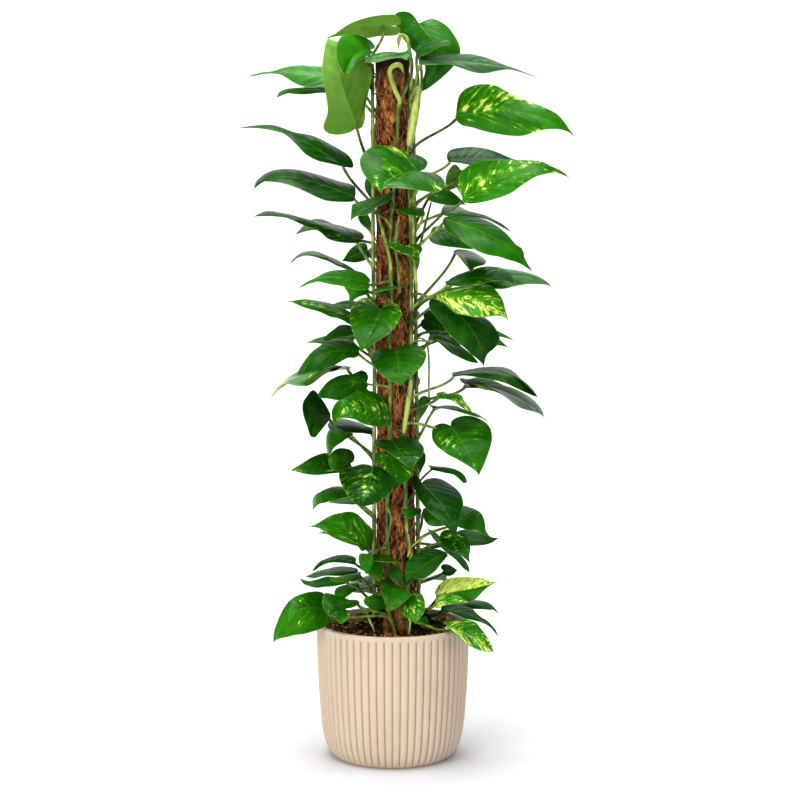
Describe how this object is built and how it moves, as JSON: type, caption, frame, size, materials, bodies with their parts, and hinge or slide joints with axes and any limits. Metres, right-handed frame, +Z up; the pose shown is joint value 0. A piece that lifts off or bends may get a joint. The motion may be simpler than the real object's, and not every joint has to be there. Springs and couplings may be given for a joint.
{
  "type": "golden pothos on a coir pole in a pot",
  "caption": "Climbing aroid with heart-shaped, pale-streaked leaves on stems round a coir pole, standing in soil in a ribbed round pot.",
  "frame": {"origin": "centre of the pot's flat underside", "axes": "+Z up along the pole, -Y towards the plant's fuller front, +X to the right when looking at that front"},
  "size_m": [0.5465, 0.374, 1.2412],
  "materials": {
    "ceramic": "matte beige",
    "soil": "rough brown coir and bark chips",
    "stake": "raw wood",
    "coir": "matted brown fibre",
    "leaf": "glossy green, streaked pale yellow"
  },
  "bodies": {
    "root": {"pot": "ceramic", "soil": "soil", "pole_stake": "stake", "pole_coir": "coir", "vine_left": "leaf", "vine_front_left": "leaf", "vine_front_right": "leaf", "vine_right": "leaf", "vine_back_right": "leaf", "vine_back_left": "leaf"}
  },
  "joints": []
}
